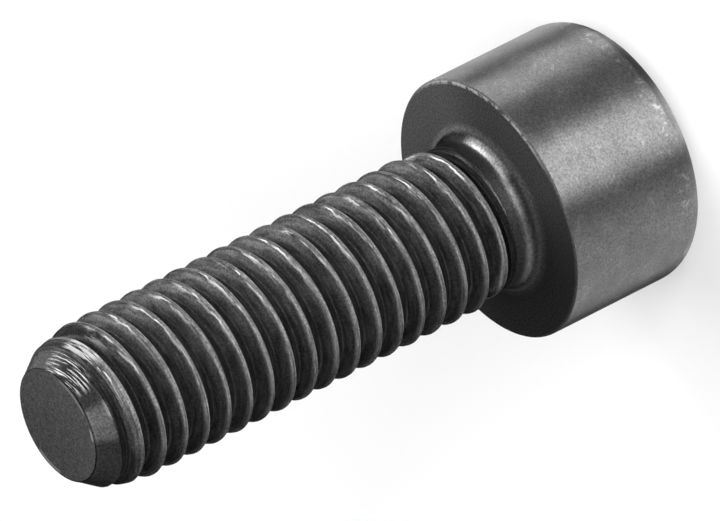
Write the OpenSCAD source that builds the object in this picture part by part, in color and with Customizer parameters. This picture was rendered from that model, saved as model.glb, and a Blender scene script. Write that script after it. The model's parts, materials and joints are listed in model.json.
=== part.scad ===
/* [Head] */
// Diameter of the cylindrical head
head_d = 12.9; // [11:0.05:16]
// Height of the head
head_h = 7.9; // [7:0.1:12]
// Radius that rounds the top edge of the head
head_edge_r = 1.4; // [0.4:0.1:2]
// Chamfer of the rim round the bearing face
rim_chamfer = 0.15; // [0.05:0.05:0.4]

/* [Hexagon socket] */
// Width across the flats of the socket
socket_af = 6.05; // [4:0.05:7]
// Depth of the socket's flats below the top of the head
socket_depth = 4.4; // [2:0.1:5.5]
// Included angle of the cone at the bottom of the socket
socket_cone_angle = 120; // [100:5:150]
// Land between the flats and the cone at the bottom of the socket
socket_land = 0.2; // [0.1:0.05:0.4]
// Width by which the chamfer at the mouth passes the corners of the socket
mouth_chamfer = 0.2; // [0.1:0.05:0.4]

/* [Neck] */
// Diameter of the plain neck under the head
neck_d = 7.2; // [6:0.05:9]
// Length of the neck, from the bearing face to the first turn of the thread
neck_l = 1.2; // [1:0.1:4]
// Radius of the fillet between the neck and the bearing face
fillet_r = 0.8; // [0.3:0.05:0.95]

/* [Thread] */
// Length of the screw under the head
length = 25; // [12:1:60]
// Diameter over the crests of the thread
thread_d = 7.9; // [7:0.05:10]
// Pitch of the thread, which is right-handed
pitch = 1.25; // [1:0.05:1.6]
// Depth of the thread, from crest to root
thread_depth = 0.69; // [0.4:0.01:0.8]
// Angle between the two flanks of the thread
flank_angle = 60; // [45:1:65]
// Width of the rounded crest, between the flanks
crest_w = 0.24; // [0.1:0.02:0.4]
// Height of the rounding on the crest and in the root
round_h = 0.05; // [0.02:0.01:0.1]
// Length over which the thread rises out of the neck
runout_l = 1.9; // [0.5:0.1:4]
// Angle about the axis at which the thread leaves the neck
thread_phase = 195; // [0:5:355]
// Number of columns of points in one turn
turn_steps = 40; // [24:4:48]

/* [Point] */
// Length of the chamfer at the tip
point_l = 1.1; // [0.5:0.05:2]
// Diameter of the flat end face
point_d = 5.55; // [4:0.05:6.5]
// Diameter of the shoulder at the end of the chamfer
shoulder_d = 7.1; // [6.6:0.05:9.5]
// Length from the tip over which the first turns grow to their full height
lead_l = 2.8; // [2.1:0.1:5]

/* [Hidden] */

// Facets of the round surfaces
$fn = 96;
// Reach of a cutter past the face that it opens
over = 1;
// Depth to which the neck's section is sunk in the head
neck_sink = 1;
// Length of the thread's core inside the neck
core_overlap = 0.5;
// Step from the neck down to the core where the thread starts
core_step = 0.04;
// Gap between the end face and the last row of points before it
end_gap = 0.12;

head_r = head_d / 2;
neck_r = neck_d / 2;
crest_r = thread_d / 2;
root_r = crest_r - thread_depth;
core_r = neck_r - core_step;
point_r = point_d / 2;
shoulder_r = shoulder_d / 2;
socket_r = socket_af / 2 / cos(30);

// One pitch of the thread's section, from root to root: place along the axis, height above the root
flank_run = (thread_depth - 2 * round_h) * tan(flank_angle / 2);
crest_from = pitch / 2 - crest_w / 2;
section = [
    [0, 0],
    [crest_from - flank_run, round_h],
    [crest_from, thread_depth - round_h],
    [pitch / 2, thread_depth],
    [pitch - crest_from, thread_depth - round_h],
    [pitch - crest_from + flank_run, round_h],
];
rows_per_turn = len(section);

function section_point(row) = section[(row + rows_per_turn) % rows_per_turn];

// The thread's skin is a grid: its columns stand side by side round the axis, each a little higher
// than the one before, so that its rows climb one pitch in a turn
function rise(column) = pitch * column / turn_steps;

function level(column, row) =
    neck_l + rise(column) + pitch * floor(row / rows_per_turn) + section_point(row)[0];

// First row of a column above the start of the thread, and last row below the end face
function first_row(column) = -len([for (p = section) if (p[0] >= pitch - rise(column)) p]);

function last_row(column) =
    let (room = length - end_gap - neck_l - rise(column))
    let (turns = floor(room / pitch))
    turns * rows_per_turn + len([for (p = section) if (p[0] <= room - turns * pitch) p]) - 1;

// Index of each column's first grid point, after the two rings of end points
column_start = [
    for (c = 0, n = 2 * turn_steps; c < turn_steps; n = n + last_row(c) - first_row(c) + 1, c = c + 1) n
];

// Index of a grid point: a row outside its column gives the column's end point
function grid_index(column, row) =
    column == turn_steps ? grid_index(0, row + rows_per_turn) :
    row < first_row(column) ? column :
    row > last_row(column) ? turn_steps + column :
    column_start[column] + row - first_row(column);

function on_circle(radius, column, z) =
    let (angle = thread_phase + 360 * column / turn_steps)
    [radius * cos(angle), radius * sin(angle), z];

// Radius of the shank: the thread grows out of the core, and at the tip the chamfer and the lead of
// the first turns cut it off
function shank_r(z, height) =
    let (grown = min(1, (z - neck_l) / runout_l))
    let (thread_r = core_r + (root_r + height - core_r) * grown)
    let (chamfer_r = point_r + (shoulder_r - point_r) * (length - z) / point_l)
    let (lead_r = shoulder_r + (crest_r - shoulder_r) * (length - z - point_l) / (lead_l - point_l))
    min(thread_r, chamfer_r, lead_r);

function is_triangle(t) = t[0] != t[1] && t[1] != t[2] && t[2] != t[0];

module threaded_shank() {
    columns = [0 : turn_steps - 1];
    core_end = [for (c = columns) on_circle(core_r, c, neck_l - core_overlap)];
    end_face = [for (c = columns) on_circle(point_r, c, length)];
    grid = [
        for (c = columns, row = [first_row(c) : last_row(c)])
            let (z = level(c, row))
            on_circle(shank_r(z, section_point(row)[1]), c, z)
    ];
    skin = [
        for (c = columns, row = [-rows_per_turn - 1 : last_row(0)])
            let (low = grid_index(c, row), low_next = grid_index(c + 1, row))
            let (high = grid_index(c, row + 1), high_next = grid_index(c + 1, row + 1))
            for (t = [[low, high_next, low_next], [low, high, high_next]]) if (is_triangle(t)) t
    ];
    polyhedron(
        points = concat(core_end, end_face, grid),
        faces = concat(
            skin,
            [[for (c = columns) c]],
            [[for (c = columns) 2 * turn_steps - 1 - c]]
        ),
        convexity = 20
    );
}

// Half sections of the head and the neck, with the bearing face on the X axis
module head_section() {
    flat_r = head_r - head_edge_r;
    edge_z = head_edge_r - head_h;
    translate([0, -head_h]) square([flat_r, head_h]);
    translate([flat_r, edge_z]) circle(head_edge_r);
    polygon([
        [0, edge_z],
        [head_r, edge_z],
        [head_r, -rim_chamfer],
        [head_r - rim_chamfer, 0],
        [0, 0],
    ]);
}

module neck_section() {
    translate([0, -neck_sink]) square([neck_r, neck_l + neck_sink]);
    difference() {
        translate([0, -neck_sink]) square([neck_r + fillet_r, fillet_r + neck_sink]);
        translate([neck_r + fillet_r, fillet_r]) circle(fillet_r);
    }
}

// Cutter for the socket, with the top of the head on the XY plane
module hexagon_socket() {
    cone_r = socket_af / 2 - socket_land;
    cone_h = cone_r / tan(socket_cone_angle / 2);
    mouth_r = socket_r + mouth_chamfer;
    translate([0, 0, -over]) cylinder(r = socket_r, h = socket_depth + over, $fn = 6);
    translate([0, 0, socket_depth]) cylinder(r1 = cone_r, r2 = 0, h = cone_h);
    translate([0, 0, -over]) cylinder(r1 = mouth_r + over, r2 = cone_r, h = mouth_r + over - cone_r);
}

// The screw stands on the top of its head, with its tip up
module screw() {
    color([0.17, 0.17, 0.18]) translate([0, 0, head_h]) {
        difference() {
            rotate_extrude() {
                head_section();
                neck_section();
            }
            translate([0, 0, -head_h]) hexagon_socket();
        }
        threaded_shank();
    }
}

screw();
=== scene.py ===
import bpy
import json
import math
from mathutils import Matrix, Vector, noise


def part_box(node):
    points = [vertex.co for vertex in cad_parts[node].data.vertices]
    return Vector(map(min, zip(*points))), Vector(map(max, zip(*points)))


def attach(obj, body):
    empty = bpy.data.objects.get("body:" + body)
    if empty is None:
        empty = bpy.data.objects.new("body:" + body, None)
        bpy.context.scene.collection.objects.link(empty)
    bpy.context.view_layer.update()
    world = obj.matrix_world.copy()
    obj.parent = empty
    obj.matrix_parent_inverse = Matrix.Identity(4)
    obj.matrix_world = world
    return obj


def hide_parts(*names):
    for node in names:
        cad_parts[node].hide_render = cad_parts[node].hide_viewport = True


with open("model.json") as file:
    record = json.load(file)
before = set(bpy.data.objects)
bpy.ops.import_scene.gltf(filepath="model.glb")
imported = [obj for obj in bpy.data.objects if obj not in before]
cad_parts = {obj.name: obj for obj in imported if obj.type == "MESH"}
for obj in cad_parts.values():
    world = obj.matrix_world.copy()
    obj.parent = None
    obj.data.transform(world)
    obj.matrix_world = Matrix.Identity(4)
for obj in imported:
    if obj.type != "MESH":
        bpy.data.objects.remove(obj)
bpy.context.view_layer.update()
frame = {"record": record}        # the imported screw: standing on its head, +Z to the tip
mm = 0.001
hair = 0.001 * mm        # slack for comparing places

screwLow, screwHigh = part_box("screw")
mounts = {mount["name"]: mount for mount in frame["record"]["mounts"]}
headRadius = (screwHigh.x - screwLow.x) / 2
bearingZ = mounts["bearing_face"]["pos_m"][2]        # underside of the head
tipZ = screwHigh.z
crestRadius = mounts["thread"]["dims"]["r_mm"] * mm
print("frame: head", round(headRadius * 2 / mm, 2), "mm across, tip at", round(tipZ / mm, 2), "mm")


def deselectAll():
    if bpy.context.mode != "OBJECT":
        bpy.ops.object.mode_set(mode="OBJECT")
    bpy.ops.object.select_all(action="DESELECT")


def pickOnly(piece):
    deselectAll()
    piece.select_set(True)
    bpy.context.view_layer.objects.active = piece


def arcPoints(middle, radius, fromAngle, toAngle, parts):        # in the XZ plane, degrees
    angles = [math.radians(fromAngle + (toAngle - fromAngle) * i / parts) for i in range(parts + 1)]
    return [(middle[0] + radius * math.cos(a), middle[1] + radius * math.sin(a)) for a in angles]


def drawSection(name, points):        # one vertex, then extruded from point to point
    deselectAll()
    bpy.ops.mesh.primitive_plane_add(size=mm)
    line = bpy.context.object
    line.name = name
    places = [Vector((x, 0, z)) for x, z in points]
    bpy.ops.object.mode_set(mode="EDIT")
    bpy.ops.mesh.select_all(action="SELECT")
    bpy.ops.mesh.merge(type="CENTER")
    bpy.ops.transform.translate(value=places[0])
    for here, there in zip(places, places[1:]):
        bpy.ops.mesh.extrude_region_move(TRANSFORM_OT_translate={"value": there - here})
    bpy.ops.object.mode_set(mode="OBJECT")
    return line


def turnSection(line, steps, rise=0.0, turns=1):        # lathe, or helix where it rises
    pickOnly(line)
    turn = line.modifiers.new("turn", "SCREW")
    turn.axis = "Z"
    turn.angle = 2 * math.pi
    turn.steps = turn.render_steps = steps
    turn.screw_offset = rise
    turn.iterations = turns
    bpy.ops.object.modifier_apply(modifier="turn")
    mergeDoubles(line)


def mergeDoubles(piece):
    pickOnly(piece)
    bpy.ops.object.mode_set(mode="EDIT")
    bpy.ops.mesh.select_all(action="SELECT")
    bpy.ops.mesh.remove_doubles(threshold=hair / 2)
    bpy.ops.mesh.normals_make_consistent(inside=False)
    bpy.ops.object.mode_set(mode="OBJECT")


def selectFaces(piece, wanted):        # leaves the piece in edit mode
    pickOnly(piece)
    bpy.ops.object.mode_set(mode="EDIT")
    bpy.ops.mesh.select_mode(type="FACE")
    bpy.ops.mesh.select_all(action="DESELECT")
    bpy.ops.object.mode_set(mode="OBJECT")
    for face in piece.data.polygons:
        face.select = wanted(face)
    bpy.ops.object.mode_set(mode="EDIT")


def cutOff(piece, height, keepBelow):        # flat cut, filled
    pickOnly(piece)
    bpy.ops.object.mode_set(mode="EDIT")
    bpy.ops.mesh.select_all(action="SELECT")
    bpy.ops.mesh.bisect(plane_co=(0, 0, height), plane_no=(0, 0, 1), use_fill=True, threshold=hair / 10,
                        clear_outer=keepBelow, clear_inner=not keepBelow)
    bpy.ops.object.mode_set(mode="OBJECT")


def combine(piece, other, operation):
    pickOnly(piece)
    join = piece.modifiers.new("join", "BOOLEAN")
    join.operation = operation
    join.solver = "EXACT"
    join.object = other
    bpy.ops.object.modifier_apply(modifier="join")
    pickOnly(other)
    bpy.ops.object.delete()


# the threaded shank
threadShape = {
    "pitch": 1.25 * mm,
    "depth": 0.69 * mm,
    "crestRound": 0.16 * mm,        # rolled crest
    "rootRound": 0.2 * mm,
    "flankAngle": 60,        # degrees a flank turns from the axis
    "roundParts": 6,
    "flankParts": 4,
    "startAngle": 195,
    "neckLength": 1.2 * mm,
    "neckRadius": 3.6 * mm,
    "coreStep": 0.015 * mm,        # the core starts a little inside the neck
    "runOut": 1.9 * mm,
    "pointLength": 1.1 * mm,
    "pointRadius": 2.79 * mm,
    "pointRound": 0.1 * mm,
    "pointTurns": (45, 67, 90),        # degrees at which the rounding of the end face's edge has its points
    "pointInset": 0.3,        # part of the rounding by which the end face is smaller than the point
    "endCorners": 12,        # only the end face has more corners
    "shoulderRadius": 3.55 * mm,        # end of the chamfer, where the first turns start to grow
    "leadLength": 2.8 * mm,
    "nicks": 0.012 * mm,        # unevenness of the crests
    "nicksPerMm": (1.1, 1.1, 3.0),
    "nicksInward": 0.6,
    "nicksOnCrest": 6,        # a higher power keeps them nearer the crest
    "steps": 96,
}


def threadSection():        # one pitch, from root to root, around a crest at height 0
    shape = threadShape
    flank = shape["flankAngle"]
    crest, root = shape["crestRound"], shape["rootRound"]
    rootRadius = crestRadius - shape["depth"]
    parts = shape["roundParts"]
    crestArc = arcPoints((crestRadius - crest, 0), crest, 0, flank, parts)
    rootArc = arcPoints((rootRadius + root, shape["pitch"] / 2), root, 180 + flank, 180, parts)
    start, end = Vector(crestArc[-1]), Vector(rootArc[0])
    flankLine = [tuple(start.lerp(end, i / shape["flankParts"])) for i in range(1, shape["flankParts"])]
    points = crestArc + flankLine + rootArc
    return [(x, -z) for x, z in reversed(points[1:])] + points


def roundPoint(shank):        # raises the end face in small steps, for a rounded edge
    shape = threadShape
    endZ = tipZ - shape["pointRound"]
    radius = pointCone(endZ)
    selectFaces(shank, lambda face: face.center.z > endZ - hair
                and len(face.vertices) > shape["endCorners"])
    for degrees in shape["pointTurns"]:
        turn = math.radians(degrees)
        nextRadius = shape["pointRadius"] + shape["pointRound"] * (math.cos(turn) - shape["pointInset"])
        nextZ = tipZ - shape["pointRound"] * (1 - math.sin(turn))
        share = nextRadius / radius
        bpy.ops.mesh.extrude_region_move(TRANSFORM_OT_translate={"value": (0, 0, nextZ - endZ)})
        bpy.ops.transform.resize(value=(share, share, 1), center_override=(0, 0, 0))
        radius, endZ = nextRadius, nextZ
    bpy.ops.object.mode_set(mode="OBJECT")


def pointCone(height):        # radius of the chamfered point at a height, then of the growing turns
    shape = threadShape
    fromTip = tipZ - height
    if fromTip < shape["pointLength"]:
        share = fromTip / shape["pointLength"]
        return shape["pointRadius"] + (shape["shoulderRadius"] - shape["pointRadius"]) * share
    share = (fromTip - shape["pointLength"]) / (shape["leadLength"] - shape["pointLength"])
    return shape["shoulderRadius"] + (crestRadius - shape["shoulderRadius"]) * share


def makeShank():
    shape = threadShape
    pitch = shape["pitch"]
    crestZ = bearingZ + shape["neckLength"] + pitch / 2 - pitch * shape["startAngle"] / 360
    spare = 2        # turns past each end, cut off below
    startZ = crestZ - spare * pitch
    turns = math.ceil((tipZ - startZ) / pitch) + spare
    shank = drawSection("shank", [(x, z + startZ) for x, z in threadSection()])
    turnSection(shank, shape["steps"], pitch, turns)
    cutOff(shank, tipZ - shape["pointRound"], True)
    cutOff(shank, bearingZ + shape["neckLength"] / 2, False)
    coreRadius = shape["neckRadius"] - shape["coreStep"]
    for vertex in shank.data.vertices:        # run-out below the head, uneven crests, point
        height = vertex.co.z - bearingZ
        radius = math.hypot(vertex.co.x, vertex.co.y)
        share = min(1, max(0, (height - shape["neckLength"]) / shape["runOut"]))
        crestShadeShare = max(0, (radius - crestRadius) / shape["depth"] + 1) ** shape["nicksOnCrest"]
        nick = noise.noise(Vector([c * s for c, s in zip(vertex.co, shape["nicksPerMm"])]) / mm)
        full = radius + shape["nicks"] * crestShadeShare * (nick - shape["nicksInward"])
        radiusNow = coreRadius + (full - coreRadius) * share
        radiusNow = min(radiusNow, pointCone(vertex.co.z))
        if radius > 0:
            vertex.co.x *= radiusNow / radius
            vertex.co.y *= radiusNow / radius
    roundPoint(shank)
    print("shank:", turns, "turns,", len(shank.data.polygons), "faces")
    return shank


# head and neck
headShape = {
    "edgeRound": 1.4 * mm,
    "rimRound": 0.16 * mm,
    "sideEnd": 0.1 * mm,        # from the bearing face to where the side's finish ends
    "fillet": 0.8 * mm,
    "roundParts": 12,
    "rimParts": 4,
    "steps": 160,
    "socketAcross": 6.05 * mm,
    "socketDepth": 4.4 * mm,
    "socketLand": 0.2 * mm,
    "socketCone": 120,        # degrees between the sides of its bottom
    "coneSteps": 64,
    "mouthBreak": 0.2 * mm,
    "mouthSteps": 96,
    "smoothAngle": 38,
}


def makeHead():
    shape = headShape
    edge = shape["edgeRound"]
    rim = shape["rimRound"]
    fillet = shape["fillet"]
    neckR = threadShape["neckRadius"]
    neckTop = bearingZ + threadShape["neckLength"]
    points = [(0, 0)]
    points += arcPoints((headRadius - edge, edge), edge, -90, 0, shape["roundParts"])
    points += arcPoints((headRadius - rim, bearingZ - rim), rim, 0, 90, shape["rimParts"])
    points += arcPoints((neckR + fillet, bearingZ + fillet), fillet, 270, 180, shape["roundParts"])
    points += [(neckR, neckTop), (0, neckTop)]
    head = drawSection("screwBody", points)
    turnSection(head, shape["steps"])
    corner = shape["socketAcross"] / math.sqrt(3)
    deselectAll()
    bpy.ops.mesh.primitive_cylinder_add(vertices=6, radius=corner, depth=2 * shape["socketDepth"],
                                        rotation=(0, 0, math.pi / 6))
    combine(head, bpy.context.object, "DIFFERENCE")
    pointR = shape["socketAcross"] / 2 - shape["socketLand"]
    pointH = pointR / math.tan(math.radians(shape["socketCone"] / 2))
    deselectAll()
    bpy.ops.mesh.primitive_cone_add(vertices=shape["coneSteps"], radius1=pointR, radius2=0, depth=pointH,
                                    location=(0, 0, shape["socketDepth"] + pointH / 2 - hair))
    combine(head, bpy.context.object, "DIFFERENCE")
    mouthR = corner + shape["mouthBreak"]
    inside, outside = 3 * shape["mouthBreak"], mm        # reach of the mouth's cutter
    deselectAll()
    bpy.ops.mesh.primitive_cone_add(vertices=shape["mouthSteps"], radius1=mouthR + outside,
                                    radius2=mouthR - inside, depth=outside + inside,
                                    location=(0, 0, (inside - outside) / 2))
    combine(head, bpy.context.object, "DIFFERENCE")
    print("head:", len(head.data.polygons), "faces")
    return head


screwBody = makeHead()
combine(screwBody, makeShank(), "UNION")
mergeDoubles(screwBody)
bpy.ops.object.shade_smooth_by_angle(angle=math.radians(headShape["smoothAngle"]))
print("screw:", sum(len(face.vertices) - 2 for face in screwBody.data.polygons), "triangles")


# blackened steel: one finish, polished by handling on the head and duller in the thread
# a side is a middle in degrees round the axis, how far from it the mark is full, and where it is gone
# a noise is its scale per mm, detail and roughness
finish = {
    "grainNoise": (10.0, 3.0, 0.6),
    "grainSpan": (0.25, 0.75),        # noise from darkest to lightest grain
    "grainDepth": 0.004 * mm,
    "nickNoise": (3.0, 4.0, 0.7),
    "wornGrey": 0.32,        # bare steel on edges and in scratches
}


def newMaterial(name):
    material = bpy.data.materials.new(name)
    material.use_nodes = True
    return material, material.node_tree.nodes["Principled BSDF"]


def addNode(material, kind, **settings):
    node = material.node_tree.nodes.new(kind)
    for name, value in settings.items():
        setattr(node, name, value)
    return node


def feed(material, socket, source):        # a link, or a plain value
    if isinstance(source, bpy.types.NodeSocket):
        material.node_tree.links.new(source, socket)
    else:
        socket.default_value = source


def sums(material, operation, *values):
    node = addNode(material, "ShaderNodeMath", operation=operation)
    for socket, value in zip(node.inputs, values):
        feed(material, socket, value)
    return node.outputs[0]


def times(material, *values):
    product = values[0]
    for value in values[1:]:
        product = sums(material, "MULTIPLY", product, value)
    return product


def step(material, value, start, end, low=0.0, high=1.0):        # smooth rise from low to high
    node = addNode(material, "ShaderNodeMapRange", interpolation_type="SMOOTHSTEP")
    names = ("Value", "From Min", "From Max", "To Min", "To Max")
    for name, source in zip(names, (value, start, end, low, high)):
        feed(material, node.inputs[name], source)
    return node.outputs["Result"]


def drop(material, value, start, end):        # smooth fall from 1 to 0
    return step(material, value, start, end, 1.0, 0.0)


def mix(material, share, first, second):
    node = addNode(material, "ShaderNodeMix", data_type="FLOAT")
    feed(material, node.inputs[0], share)
    feed(material, node.inputs[2], first)
    feed(material, node.inputs[3], second)
    return node.outputs[0]


def cloud(material, vector, scale, detail, rough):
    node = addNode(material, "ShaderNodeTexNoise")
    feed(material, node.inputs["Vector"], vector)
    feed(material, node.inputs["Scale"], scale)
    feed(material, node.inputs["Detail"], detail)
    feed(material, node.inputs["Roughness"], rough)
    return node.outputs["Fac"]


def stretched(material, vector, scales):        # vector with its parts scaled
    node = addNode(material, "ShaderNodeVectorMath", operation="MULTIPLY")
    feed(material, node.inputs[0], vector)
    node.inputs[1].default_value = scales
    return node.outputs[0]


def steelPlaces(material):        # in mm: place, radius, height, angle and a frame that winds with the thread
    coords = addNode(material, "ShaderNodeTexCoord").outputs["Object"]
    place = stretched(material, coords, (1 / mm, 1 / mm, 1 / mm))
    parts = addNode(material, "ShaderNodeSeparateXYZ")
    feed(material, parts.inputs[0], place)
    x, y, z = parts.outputs
    radius = sums(material, "SQRT", sums(material, "ADD", times(material, x, x), times(material, y, y)))
    angle = sums(material, "ARCTAN2", x, times(material, y, -1.0))        # seam at the back
    pitch = threadShape["pitch"] / mm
    wound = sums(material, "SUBTRACT", z, times(material, angle, pitch / (2 * math.pi)))
    follow = addNode(material, "ShaderNodeCombineXYZ")
    feed(material, follow.inputs[0], times(material, angle, crestRadius / mm))
    feed(material, follow.inputs[1], wound)
    feed(material, follow.inputs[2], radius)
    return {"place": place, "radius": radius, "z": z, "angle": angle, "wound": wound,
            "follow": follow.outputs[0]}


def facing(material, at, side):        # 1 towards a side, 0 away from it
    middle, full, gone = [math.radians(part) for part in side]
    turned = sums(material, "SUBTRACT", at["angle"], middle)
    return step(material, sums(material, "COSINE", turned), math.cos(gone), math.cos(full))


def band(material, value, start, end, soft):        # 1 between start and end
    return times(material, step(material, value, start - soft, start), drop(material, value, end, end + soft))


def steelGrain(material, at):
    return cloud(material, at["place"], *finish["grainNoise"])


def steelNicks(material, at):
    return cloud(material, at["place"], *finish["nickNoise"])


def grainy(material, grain, shares):        # from the share of the grey in dark grain to that in light grain
    return step(material, grain, *finish["grainSpan"], *shares)


def finishSteel(material, shader, grey, roughness, grain, glance):        # grey and roughness are sockets
    depth = addNode(material, "ShaderNodeBump")
    depth.inputs["Strength"].default_value = 1.0
    depth.inputs["Distance"].default_value = finish["grainDepth"]
    feed(material, depth.inputs["Height"], grain)
    feed(material, shader.inputs["Normal"], depth.outputs["Normal"])
    feed(material, shader.inputs["Base Color"], grey)
    feed(material, shader.inputs["Roughness"], roughness)
    shader.inputs["Metallic"].default_value = 1.0
    shader.inputs["Specular Tint"].default_value = (glance, glance, glance, 1)        # black at a glance too


# side and top of the head, with the socket
headFinish = {
    "grey": 0.1,
    "grain": (0.68, 1.32),
    "patchNoise": (0.7, 3.0, 0.6),
    "patchSpan": (0.3, 0.7),
    "patches": (0.9, 1.1),
    "edgeShadeSide": (40, 20, 60),        # blacker round the top edge on one side: painted shade, a dark reflection
    "edgeShadeHeight": (0.55, 0.8),        # in roundings of the top edge
    "edgeShadeShare": 0.5,
    "curlNoise": (1.6, 2.0, 0.5),        # faint curled marks, in some patches only
    "curlMiddle": 0.5,
    "curlWidth": (0.006, 0.02),
    "curlSpan": (0.5, 0.6),
    "curlShare": 1.3,
    "speckNoise": (2.4, 5.0, 0.75),        # bright specks along the top edge
    "specksHeight": (0.75, 1.1),
    "specksSoft": 0.25,
    "specksSpan": (0.52, 0.64),
    "specksShare": 0.4,
    "roughSpan": (0.2, 0.8),
    "roughness": (0.56, 0.64),
    "glance": 0.5,
    "brushed": 1.0,
    "brushedTurn": 0.25,
}


def paintHead():
    look = headFinish
    material, shader = newMaterial("headSteel")
    at = steelPlaces(material)
    edgeRound = headShape["edgeRound"] / mm
    grain = steelGrain(material, at)
    patches = cloud(material, at["place"], *look["patchNoise"])
    grey = times(material, grainy(material, grain, look["grain"]), look["grey"],
                 step(material, patches, *look["patchSpan"], *look["patches"]))
    # painted shade: the rounding of the top edge darker on one side, a painted dark reflection
    low, high = [edgeRound * part for part in look["edgeShadeHeight"]]
    edgeShade = times(material, drop(material, at["z"], low, high), facing(material, at, look["edgeShadeSide"]))
    grey = times(material, grey, mix(material, edgeShade, 1.0, look["edgeShadeShare"]))
    curl = sums(material, "SUBTRACT", cloud(material, at["place"], *look["curlNoise"]), look["curlMiddle"])
    curl = times(material, drop(material, sums(material, "ABSOLUTE", curl), *look["curlWidth"]),
                 step(material, patches, *look["curlSpan"]))
    grey = times(material, grey, mix(material, curl, 1.0, look["curlShare"]))
    specks = cloud(material, at["place"], *look["speckNoise"])
    low, high = [edgeRound * part for part in look["specksHeight"]]
    brightMarks = times(material, band(material, at["z"], low, high, look["specksSoft"]),
                 step(material, specks, *look["specksSpan"]), look["specksShare"])
    grey = mix(material, brightMarks, grey, finish["wornGrey"])
    roughness = step(material, grain, *look["roughSpan"], *look["roughness"])
    finishSteel(material, shader, grey, roughness, grain, look["glance"])
    shader.inputs["Anisotropic"].default_value = look["brushed"]
    shader.inputs["Anisotropic Rotation"].default_value = look["brushedTurn"]
    return material


# bearing face, fillet and neck, and the end face; lengths in mm
faceFinish = {
    "grey": 0.1,
    "neckShadeGrey": 0.02,        # fillet and neck, painted darker as shade
    "crescentHighlightGrey": 0.12,        # painted highlight: a lighter crescent on the fillet
    "crescentHighlightSide": (38, 10, 28),
    "crescentHighlightHeight": (0.25, 0.5),
    "crescentHighlightSoft": 0.12,
    "flatFrom": (-0.6, -0.3),        # from the edge of the fillet
    "endFrom": (-0.3, -0.2),        # from the tip
    "grain": (0.55, 1.45),
    "pitNoise": (6.0, 2.0, 0.5),        # coarser grain on the end face
    "pitted": (0.79, 1.25),
    # painted shade on the bearing face: darker towards one side, less towards another, a little lighter
    # elsewhere
    "faceShadeSide": (-85, 25, 140),
    "paleShadeSide": (15, 20, 70),
    "paleShade": 0.6,
    "faceShadeShares": (1.1, 0.28),
    "rimLine": (-0.05, 0.07),        # from the rim's rounding
    # worn line along the rim, kept to one side as a painted highlight
    "rimHighlightSide": (50, 24, 55),
    "rimNicks": (0.4, 0.54),
    "endLine": (-0.2, -0.07),        # from the edge of the end face
    "endTicks": ((-25, 3, 8), (-150, 12, 20)),        # bright ticks round the end face
    "faintTick": (20, 16, 26),
    "faintShare": 0.6,
    "lineSoft": 0.03,
    "roughness": (0.46, 0.76),        # neck, faces
    "glance": 0.25,
}


def paintFaces():
    look = faceFinish
    material, shader = newMaterial("faceSteel")
    at = steelPlaces(material)
    rim = (headRadius - headShape["rimRound"]) / mm
    filletEdge = (threadShape["neckRadius"] + headShape["fillet"]) / mm
    point = threadShape["pointRadius"] / mm
    grain = steelGrain(material, at)
    atTip = step(material, at["z"], *[tipZ / mm + part for part in look["endFrom"]])
    flat = step(material, at["radius"], *[filletEdge + part for part in look["flatFrom"]])
    flat = sums(material, "MAXIMUM", atTip, flat)
    # painted highlight on the fillet on one side, over the painted shade of the neck
    low, high = [bearingZ / mm + part for part in look["crescentHighlightHeight"]]
    crescentHighlight = times(material, facing(material, at, look["crescentHighlightSide"]),
                     band(material, at["z"], low, high, look["crescentHighlightSoft"]))
    neckShadeAndHighlight = mix(material, crescentHighlight, look["neckShadeGrey"], look["crescentHighlightGrey"])
    grey = times(material, grainy(material, grain, look["grain"]), mix(material, flat, neckShadeAndHighlight, look["grey"]))
    # painted shade on the bearing face, darker on one side
    faceShade = sums(material, "MAXIMUM", facing(material, at, look["faceShadeSide"]),
                times(material, facing(material, at, look["paleShadeSide"]), look["paleShade"]))
    faceShade = times(material, faceShade, sums(material, "SUBTRACT", flat, atTip))
    grey = times(material, grey, mix(material, faceShade, *look["faceShadeShares"]))
    pitted = cloud(material, at["place"], *look["pitNoise"])
    grey = times(material, grey, mix(material, atTip, 1.0, grainy(material, pitted, look["pitted"])))
    # worn line along the rim, a painted highlight on one side
    inner, outer = [rim + part for part in look["rimLine"]]
    rimWearAndHighlight = times(material, band(material, at["radius"], inner, outer, look["lineSoft"]),
                    step(material, steelNicks(material, at), *look["rimNicks"]),
                    facing(material, at, look["rimHighlightSide"]))
    ticks = times(material, facing(material, at, look["faintTick"]), look["faintShare"])
    for side in look["endTicks"]:
        ticks = sums(material, "MAXIMUM", ticks, facing(material, at, side))
    inner, outer = [point + part for part in look["endLine"]]
    endWear = times(material, band(material, at["radius"], inner, outer, look["lineSoft"]), ticks, atTip)
    grey = mix(material, sums(material, "MAXIMUM", rimWearAndHighlight, endWear), grey, finish["wornGrey"])
    finishSteel(material, shader, grey, mix(material, flat, *look["roughness"]), grain, look["glance"])
    return material


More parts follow.
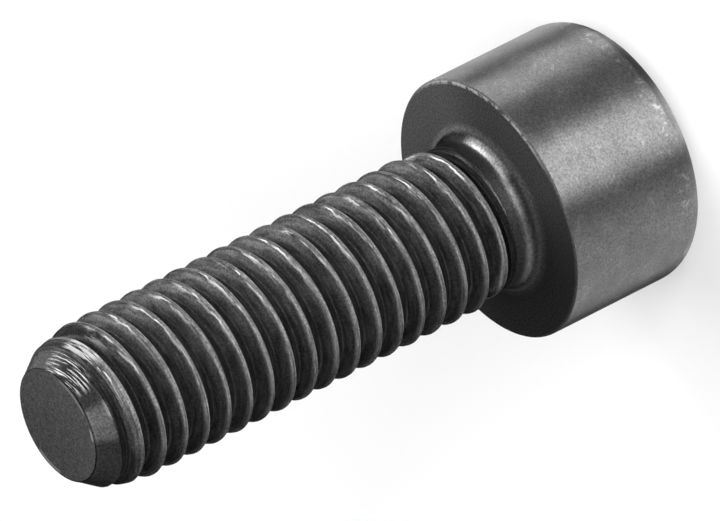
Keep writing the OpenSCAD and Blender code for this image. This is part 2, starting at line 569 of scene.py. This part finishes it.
# thread, its run-out and the chamfer of the point; lengths in mm
threadFinish = {
    "flankGrey": 0.1,
    "flankSpan": (0.2, 0.5),        # from the crest
    "flankShares": (1.1, 0.6),
    # painted shade: the flanks darker on one side
    "flankShadeSide": (-70, 35, 110),
    "flankShadeShares": (1.2, 0.76),        # shares away from that side and on it
    "risingHeight": (0.8, 1.8),        # above the neck, where the thread leaves it; flanks painted darker there as shade
    "risingShadeShare": 0.3,
    "rootGrey": 0.008,
    "rootSpan": (0.42, 0.52),
    "crestGrey": 0.06,
    "crestHalf": (0.16, 0.4),        # half width of a full crest, and of the low first turns
    "crestSoft": 0.04,
    # painted shade: the crests darker on one side
    "crestShadeSide": (-95, 25, 65),
    "crestShadeShare": 0.45,
    "leadShare": 0.5,
    "leadSoft": 0.5,
    "farEdgeAt": 0.13,        # lighter edge of a crest, towards the head
    "farEdgeSpan": (0.05, 0.13),
    "farEdgeShare": 2.2,
    "grain": (0.5, 1.5),
    "streakScales": (0.7, 9.0, 2.0),        # along the thread, across it, outwards
    "streakNoise": (1.0, 3.0, 0.6),
    "streakSpan": (0.3, 0.7),
    "streaks": (0.6, 1.4),
    "wearAndHighlightGrey": 0.42,        # bright broken line along a crest, and the smear: worn steel, the line also a painted highlight on the lit side
    "litSideFrom": (-12, 45.296),        # degrees where the painted highlight starts, and is full
    "litSideTo": (53.125, 66.875),        # degrees where it starts to fade, and is gone
    "wanderNoise": (0.8, 3.0, 0.6),
    "lineAt": (0.06, 0.2),
    "lineHalf": (0.02, 0.05),
    "lineStreaks": (0.4, 0.58),
    "crestNicks": (0.45, 0.7),
    "crestNickShare": 0.2,
    "smearSide": (45, 9, 18),        # bright smear on the first turn
    "smearStreaks": (0.4, 0.5),
    "smearShare": 0.5,
    "chamferGrey": 0.05,
    # painted shade on the chamfer, lighter towards two sides
    "chamferLitSides": ((100, 30, 60), (-16, 8, 20)),
    "chamferShadeShare": 0.28,
    "chamferSoft": 0.2,
    "scratchScales": (0.5, 14.0, 0.0),
    "scratchNoise": (1.0, 3.0, 0.65),
    "scratchSpan": (0.5, 0.62),
    "scratchSide": (41, 14, 30),
    "flankRough": 0.35,
    "crestRough": 0.7,
    "rootRough": 0.85,
    "chamferRough": 0.6,
    "glance": 0.25,
}


def paintThread():
    look = threadFinish
    material, shader = newMaterial("threadSteel")
    at = steelPlaces(material)
    pitch = threadShape["pitch"] / mm
    neckEnd = (bearingZ + threadShape["neckLength"]) / mm
    crestZ = neckEnd + pitch / 2 + pitch * (270 - threadShape["startAngle"]) / 360        # a crest at angle 0
    climb = sums(material, "SUBTRACT", at["wound"], crestZ)
    fromCrest = sums(material, "PINGPONG", climb, pitch / 2)
    leadStart = (tipZ - threadShape["leadLength"]) / mm
    lead = step(material, at["z"], leadStart, leadStart + look["leadSoft"])
    risingShade = drop(material, at["z"], *[neckEnd + part for part in look["risingHeight"]])
    grain = steelGrain(material, at)
    streaks = cloud(material, stretched(material, at["follow"], look["streakScales"]), *look["streakNoise"])

    # dark flanks and roots, and matt crests
    # painted shade on the flanks where the thread leaves the neck
    flank = times(material, step(material, fromCrest, *look["flankSpan"], *look["flankShares"]),
                  look["flankGrey"], mix(material, risingShade, 1.0, look["risingShadeShare"]))
    root = step(material, fromCrest, *look["rootSpan"])
    flank = mix(material, root, flank, look["rootGrey"])
    # painted shade on the flanks, darker on one side
    flank = times(material, flank,
                  mix(material, facing(material, at, look["flankShadeSide"]), *look["flankShadeShares"]))
    half = mix(material, lead, *look["crestHalf"])
    crest = drop(material, sums(material, "SUBTRACT", fromCrest, half), -look["crestSoft"], look["crestSoft"])
    fromEdge = sums(material, "PINGPONG", sums(material, "ADD", climb, look["farEdgeAt"]), pitch / 2)
    # painted shade on the crests, darker on one side
    crestShade = facing(material, at, look["crestShadeSide"])
    crestGrey = times(material, mix(material, crestShade, 1.0, look["crestShadeShare"]),
                      step(material, fromEdge, *look["farEdgeSpan"], look["farEdgeShare"], 1.0),
                      mix(material, lead, 1.0, look["leadShare"]), look["crestGrey"])
    grey = times(material, mix(material, crest, flank, crestGrey), grainy(material, grain, look["grain"]),
                 step(material, streaks, *look["streakSpan"], *look["streaks"]))

    # bright lines on the crests, worn steel and a painted highlight on the lit side, and the smear on the
    # first turn
    wander = grainy(material, cloud(material, at["follow"], *look["wanderNoise"]), look["lineAt"])
    fromLine = sums(material, "PINGPONG", sums(material, "SUBTRACT", climb, wander), pitch / 2)
    line = times(material, drop(material, fromLine, *look["lineHalf"]),
                 step(material, streaks, *look["lineStreaks"]))
    crestNicks = times(material, crest, step(material, steelNicks(material, at), *look["crestNicks"]),
                       look["crestNickShare"])
    brightMarks = times(material, sums(material, "MAXIMUM", line, crestNicks),
                 step(material, at["angle"], *[math.radians(part) for part in look["litSideFrom"]]),
                 drop(material, at["angle"], *[math.radians(part) for part in look["litSideTo"]]))
    smear = times(material, lead, crest, facing(material, at, look["smearSide"]),
                  step(material, streaks, *look["smearStreaks"]), look["smearShare"])
    grey = mix(material, sums(material, "MAXIMUM", brightMarks, smear), grey, look["wearAndHighlightGrey"])

    # scratched chamfer of the point, with painted shade away from two sides
    chamferStart = (tipZ - threadShape["pointLength"]) / mm
    chamfer = step(material, at["z"], chamferStart, chamferStart + look["chamferSoft"])
    # painted shade on the chamfer, lighter towards two sides
    light = sums(material, "MAXIMUM", *[facing(material, at, side) for side in look["chamferLitSides"]])
    chamferGrey = times(material, grainy(material, grain, look["grain"]), look["chamferGrey"],
                        mix(material, light, look["chamferShadeShare"], 1.0))
    grey = mix(material, chamfer, grey, chamferGrey)
    scratches = stretched(material, at["follow"], look["scratchScales"])
    scratches = cloud(material, scratches, *look["scratchNoise"])
    scratched = times(material, chamfer, step(material, scratches, *look["scratchSpan"]),
                      facing(material, at, look["scratchSide"]))
    grey = mix(material, scratched, grey, finish["wornGrey"])
    roughness = mix(material, crest, look["flankRough"], look["crestRough"])
    roughness = mix(material, root, roughness, look["rootRough"])
    roughness = mix(material, chamfer, roughness, look["chamferRough"])
    finishSteel(material, shader, grey, roughness, grain, look["glance"])
    return material


def faceKind(face):        # place of the face's finish in the list below
    height = face.center.z
    if height < bearingZ - headShape["sideEnd"]:
        return 0
    if height < bearingZ + threadShape["neckLength"] or height > tipZ - hair:
        return 1
    return 2


screwBody.data.materials.clear()
for steel in (paintHead(), paintFaces(), paintThread()):
    screwBody.data.materials.append(steel)
for face in screwBody.data.polygons:
    face.material_index = faceKind(face)
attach(screwBody, "root")
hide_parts("screw")
print("finish:", len(screwBody.data.materials), "steels")


# floor, light and camera
studio = {
    "floorSize": 6.0,
    "floorColour": (0.8, 0.8, 0.8, 1),
    "floorRough": 0.9,
    "floorGlow": 0.12,        # lifts the floor to white for the camera and in reflections
    "domeLevel": 0.2,
    "domeLean": (2.0, -0.4, 0.0),        # soft light is stronger towards this side
    "lampDistance": 0.6,
    "lamps": {        # degrees as seen from the screw: azimuth, elevation, across, tall; then the radiance
        "frontLamp": (273, 7, 45, 14, 64.0),
        "topLamp": (356, 7, 29, 14, 29.0),
        "backLamp": (46, 4, 30, 8, 42.0),
        "skyLamp": (35, 50, 50, 40, 0.95),
        "fillLamp": (185, 7, 87, 14, 17.5),
    },
    "cameraHeight": 29.126,        # degrees above the horizon
    "cameraRoll": -116.67,
    "cameraDistance": 1.0,
    "sensor": 36,
    "clip": (0.01, 20),
    "pixelsPerMm": 21.834,
    "bearingPixel": (487.62, 209.17),        # middle of the bearing face in the picture
    "image": (720, 521),
}


def makeFloor():
    deselectAll()
    bpy.ops.mesh.primitive_plane_add(size=studio["floorSize"])
    floor = bpy.context.object
    floor.name = "floor"
    paint, shader = newMaterial("floorPaint")
    shader.inputs["Base Color"].default_value = studio["floorColour"]
    shader.inputs["Roughness"].default_value = studio["floorRough"]
    shader.inputs["Emission Color"].default_value = (1, 1, 1, 1)
    rays = addNode(paint, "ShaderNodeLightPath").outputs
    seen = sums(paint, "MAXIMUM", rays["Is Camera Ray"], rays["Is Glossy Ray"])
    seen = sums(paint, "MAXIMUM", seen, rays["Is Transmission Ray"])
    feed(paint, shader.inputs["Emission Strength"], times(paint, seen, studio["floorGlow"]))
    floor.data.materials.append(paint)


def addLamp(name, azimuth, elevation, across, tall, radiance):
    distance = studio["lampDistance"]
    a, e = math.radians(azimuth), math.radians(elevation)
    away = Vector((math.cos(a) * math.cos(e), math.sin(a) * math.cos(e), math.sin(e)))
    deselectAll()
    bpy.ops.object.light_add(type="AREA", location=away * distance)
    lamp = bpy.context.object
    lamp.name = name
    lamp.rotation_euler = away.to_track_quat("Z", "Y").to_euler()
    lamp.data.shape = "RECTANGLE"
    lamp.data.size = 2 * distance * math.tan(math.radians(across / 2))
    lamp.data.size_y = 2 * distance * math.tan(math.radians(tall / 2))
    lamp.data.energy = radiance * math.pi * lamp.data.size * lamp.data.size_y


def makeDome():        # soft light all round
    world = bpy.data.worlds.new("studioDome")
    world.use_nodes = True
    bpy.context.scene.world = world
    direction = addNode(world, "ShaderNodeTexCoord").outputs["Generated"]
    lean = addNode(world, "ShaderNodeVectorMath", operation="DOT_PRODUCT")
    feed(world, lean.inputs[0], direction)
    lean.inputs[1].default_value = studio["domeLean"]
    level = times(world, sums(world, "EXPONENT", lean.outputs["Value"]), studio["domeLevel"])
    back = world.node_tree.nodes["Background"]
    back.inputs["Color"].default_value = (1, 1, 1, 1)
    feed(world, back.inputs["Strength"], level)


def placeCamera():
    rise = math.radians(studio["cameraHeight"])
    roll = math.radians(studio["cameraRoll"])
    away = Vector((0, -math.cos(rise), math.sin(rise)))
    level = Vector((1, 0, 0))
    upright = Vector((0, math.sin(rise), math.cos(rise)))
    right = level * math.cos(roll) + upright * math.sin(roll)
    up = upright * math.cos(roll) - level * math.sin(roll)
    scale = studio["pixelsPerMm"] / mm        # pixels a metre at the bearing face
    offX = (studio["bearingPixel"][0] - studio["image"][0] / 2) / scale
    offY = (studio["image"][1] / 2 - studio["bearingPixel"][1]) / scale
    place = Vector((0, 0, bearingZ)) - right * offX - up * offY + away * studio["cameraDistance"]
    turn = Matrix((right, up, away)).transposed().to_4x4()
    deselectAll()
    bpy.ops.object.camera_add()
    camera = bpy.context.object
    camera.matrix_world = Matrix.Translation(place) @ turn
    camera.data.sensor_width = studio["sensor"]
    camera.data.lens = studio["sensor"] * scale * studio["cameraDistance"] / studio["image"][0]
    camera.data.clip_start, camera.data.clip_end = studio["clip"]
    bpy.context.scene.camera = camera


makeFloor()
for lampName, lampPlace in studio["lamps"].items():
    addLamp(lampName, *lampPlace)
makeDome()
placeCamera()
bpy.context.scene.view_settings.view_transform = "Standard"
print("studio:", len(studio["lamps"]), "lamps")
